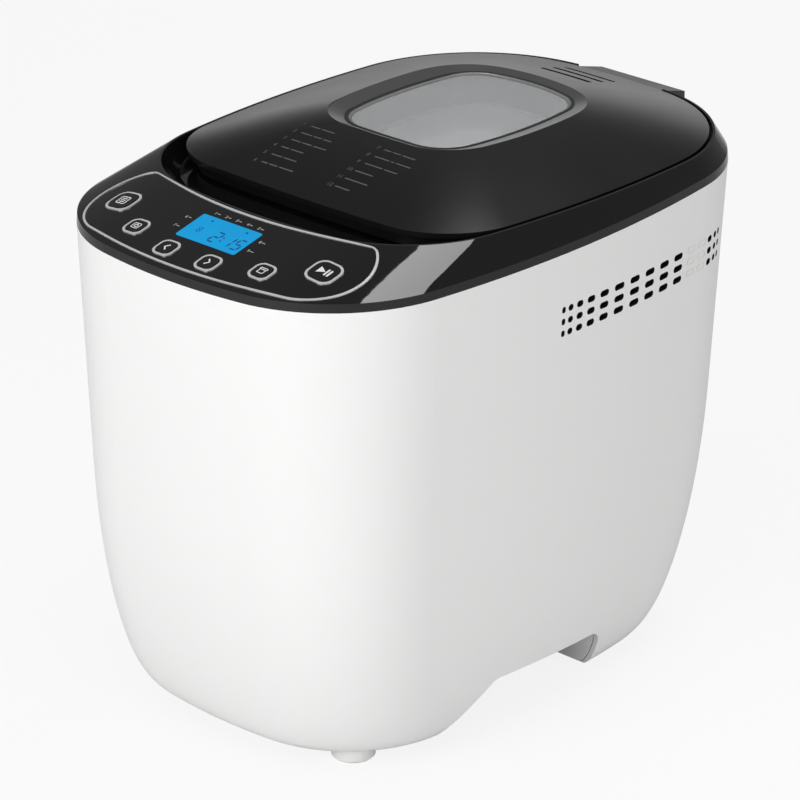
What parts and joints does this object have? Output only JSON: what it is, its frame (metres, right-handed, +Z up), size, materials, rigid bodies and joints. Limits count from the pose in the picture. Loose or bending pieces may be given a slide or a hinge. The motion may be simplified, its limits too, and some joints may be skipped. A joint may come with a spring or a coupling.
{
  "type": "bread machine",
  "caption": "Free-standing bread machine: tapered casing, hinged domed lid with a window, sloping control panel, lift-out pan with bail and paddle, heater and belt drive inside.",
  "frame": {"origin": "bottom centre of the bounding box, on the plane the feet stand on", "axes": "+Z up, -Y to the front where the control panel is, +X to the right seen from the front"},
  "size_m": [0.225, 0.3289, 0.2733],
  "materials": {
    "shell_white": "satin white moulding",
    "foot_grey": "matt light grey",
    "frame_black": "polished black",
    "lid_charcoal": "soft matt charcoal",
    "hinge_grey": "matt dark grey",
    "bright_trim": "bright plated",
    "button_face": "polished black",
    "display_window": "blue backlit window",
    "display_body": "matt black",
    "board_green": "solder mask",
    "fixing_steel": "zinc plated",
    "sheet_steel": "mill finish",
    "heater_sheath": "oxidised sheath",
    "white_ceramic": "unglazed",
    "bearing_bronze": "sintered bronze",
    "black_nylon": "moulded",
    "cast_alloy": "as cast",
    "coated_pan": "dark non-stick coat",
    "black_rubber": "moulded",
    "window_pane": "smoked clear"
  },
  "bodies": {
    "chassis": {"outer_shell": "shell_white", "base_plate": "shell_white", "feet": "foot_grey", "base_screws": "fixing_steel", "cord_gland": "black_nylon", "top_frame": "frame_black", "panel_trim": "bright_trim", "button_bezels": "bright_trim", "display_lens": "display_window", "display_module": "display_body", "control_board": "board_green", "button_switches": "display_body", "board_screws": "fixing_steel", "oven_chamber": "sheet_steel", "chamber_screws": "fixing_steel", "chamber_spacers": "fixing_steel", "heating_element": "heater_sheath", "heater_bushings": "white_ceramic", "heater_clips": "sheet_steel", "temperature_sensor": "sheet_steel", "pan_seat": "sheet_steel", "drive_bracket": "sheet_steel", "drive_bearing": "bearing_bronze", "drive_belt": "black_rubber", "motor_can": "sheet_steel", "motor_stator": "sheet_steel", "motor_screws": "fixing_steel", "power_board": "board_green", "power_components": "display_body", "board_standoffs": "fixing_steel", "hinge_pin": "fixing_steel"},
    "lid": {"lid_cover": "lid_charcoal", "lid_liner": "sheet_steel", "lid_seal": "black_rubber", "window_glass": "window_pane", "window_gasket": "black_rubber", "inner_glass": "window_pane", "hinge_cover": "hinge_grey", "lid_screws": "fixing_steel"},
    "pan": {"bread_pan": "coated_pan", "pan_base": "cast_alloy", "pan_bush": "bearing_bronze"},
    "bail": {"pan_handle": "sheet_steel"},
    "paddle": {"pan_shaft": "sheet_steel", "wing_coupling": "cast_alloy", "kneading_paddle": "coated_pan"},
    "drive": {"drive_shaft": "sheet_steel", "drive_coupler": "cast_alloy", "drive_pulley": "black_nylon", "shaft_clip": "fixing_steel"},
    "rotor": {"motor_rotor": "sheet_steel", "motor_shaft": "sheet_steel", "motor_pulley": "black_nylon"},
    "menu_key": {"menu_button": "button_face"},
    "colour_key": {"colour_button": "button_face"},
    "minus_key": {"minus_button": "button_face"},
    "plus_key": {"plus_button": "button_face"},
    "weight_key": {"weight_button": "button_face"},
    "start_key": {"start_button": "button_face"}
  },
  "joints": [
    {"name": "lid_hinge", "type": "hinge", "parent": "chassis", "child": "lid", "pos_m": [0, 0.15765, 0.246], "axis": [-1, 0, 0], "range_deg": [0, 95]},
    {"name": "pan_lift", "type": "slide", "parent": "chassis", "child": "pan", "axis": [0, 0, 1], "range_m": [0, 0.043]},
    {"name": "bail_swing", "type": "hinge", "parent": "pan", "child": "bail", "pos_m": [0, 0.03045, 0.201], "axis": [1, 0, 0], "range_deg": [0, 180]},
    {"name": "drive_spin", "type": "hinge", "parent": "chassis", "child": "drive", "pos_m": [0, 0.03045, 0.05], "axis": [0, 0, 1], "continuous": true},
    {"name": "motor_spin", "type": "hinge", "parent": "chassis", "child": "rotor", "pos_m": [0, -0.08655, 0.08], "axis": [0, 0, 1], "continuous": true},
    {"name": "paddle_spin", "type": "hinge", "parent": "pan", "child": "paddle", "pos_m": [0, 0.03045, 0.08], "axis": [0, 0, 1], "continuous": true},
    {"name": "menu_press", "type": "slide", "parent": "chassis", "child": "menu_key", "axis": [0, 0.2406, -0.9706], "range_m": [0, 0.001], "stiffness_N_per_m": 400, "springref_m": -0.001},
    {"name": "colour_press", "type": "slide", "parent": "chassis", "child": "colour_key", "axis": [0, 0.2406, -0.9706], "range_m": [0, 0.001], "stiffness_N_per_m": 400, "springref_m": -0.001},
    {"name": "minus_press", "type": "slide", "parent": "chassis", "child": "minus_key", "axis": [0, 0.2406, -0.9706], "range_m": [0, 0.001], "stiffness_N_per_m": 400, "springref_m": -0.001},
    {"name": "plus_press", "type": "slide", "parent": "chassis", "child": "plus_key", "axis": [0, 0.2406, -0.9706], "range_m": [0, 0.001], "stiffness_N_per_m": 400, "springref_m": -0.001},
    {"name": "weight_press", "type": "slide", "parent": "chassis", "child": "weight_key", "axis": [0, 0.2406, -0.9706], "range_m": [0, 0.001], "stiffness_N_per_m": 400, "springref_m": -0.001},
    {"name": "start_press", "type": "slide", "parent": "chassis", "child": "start_key", "axis": [0, 0.2406, -0.9706], "range_m": [0, 0.001], "stiffness_N_per_m": 400, "springref_m": -0.001}
  ],
  "couplings": [
    {"joint": "motor_spin", "follows": "drive_spin", "ratio": 3.87},
    {"joint": "paddle_spin", "follows": "drive_spin", "ratio": 1}
  ]
}
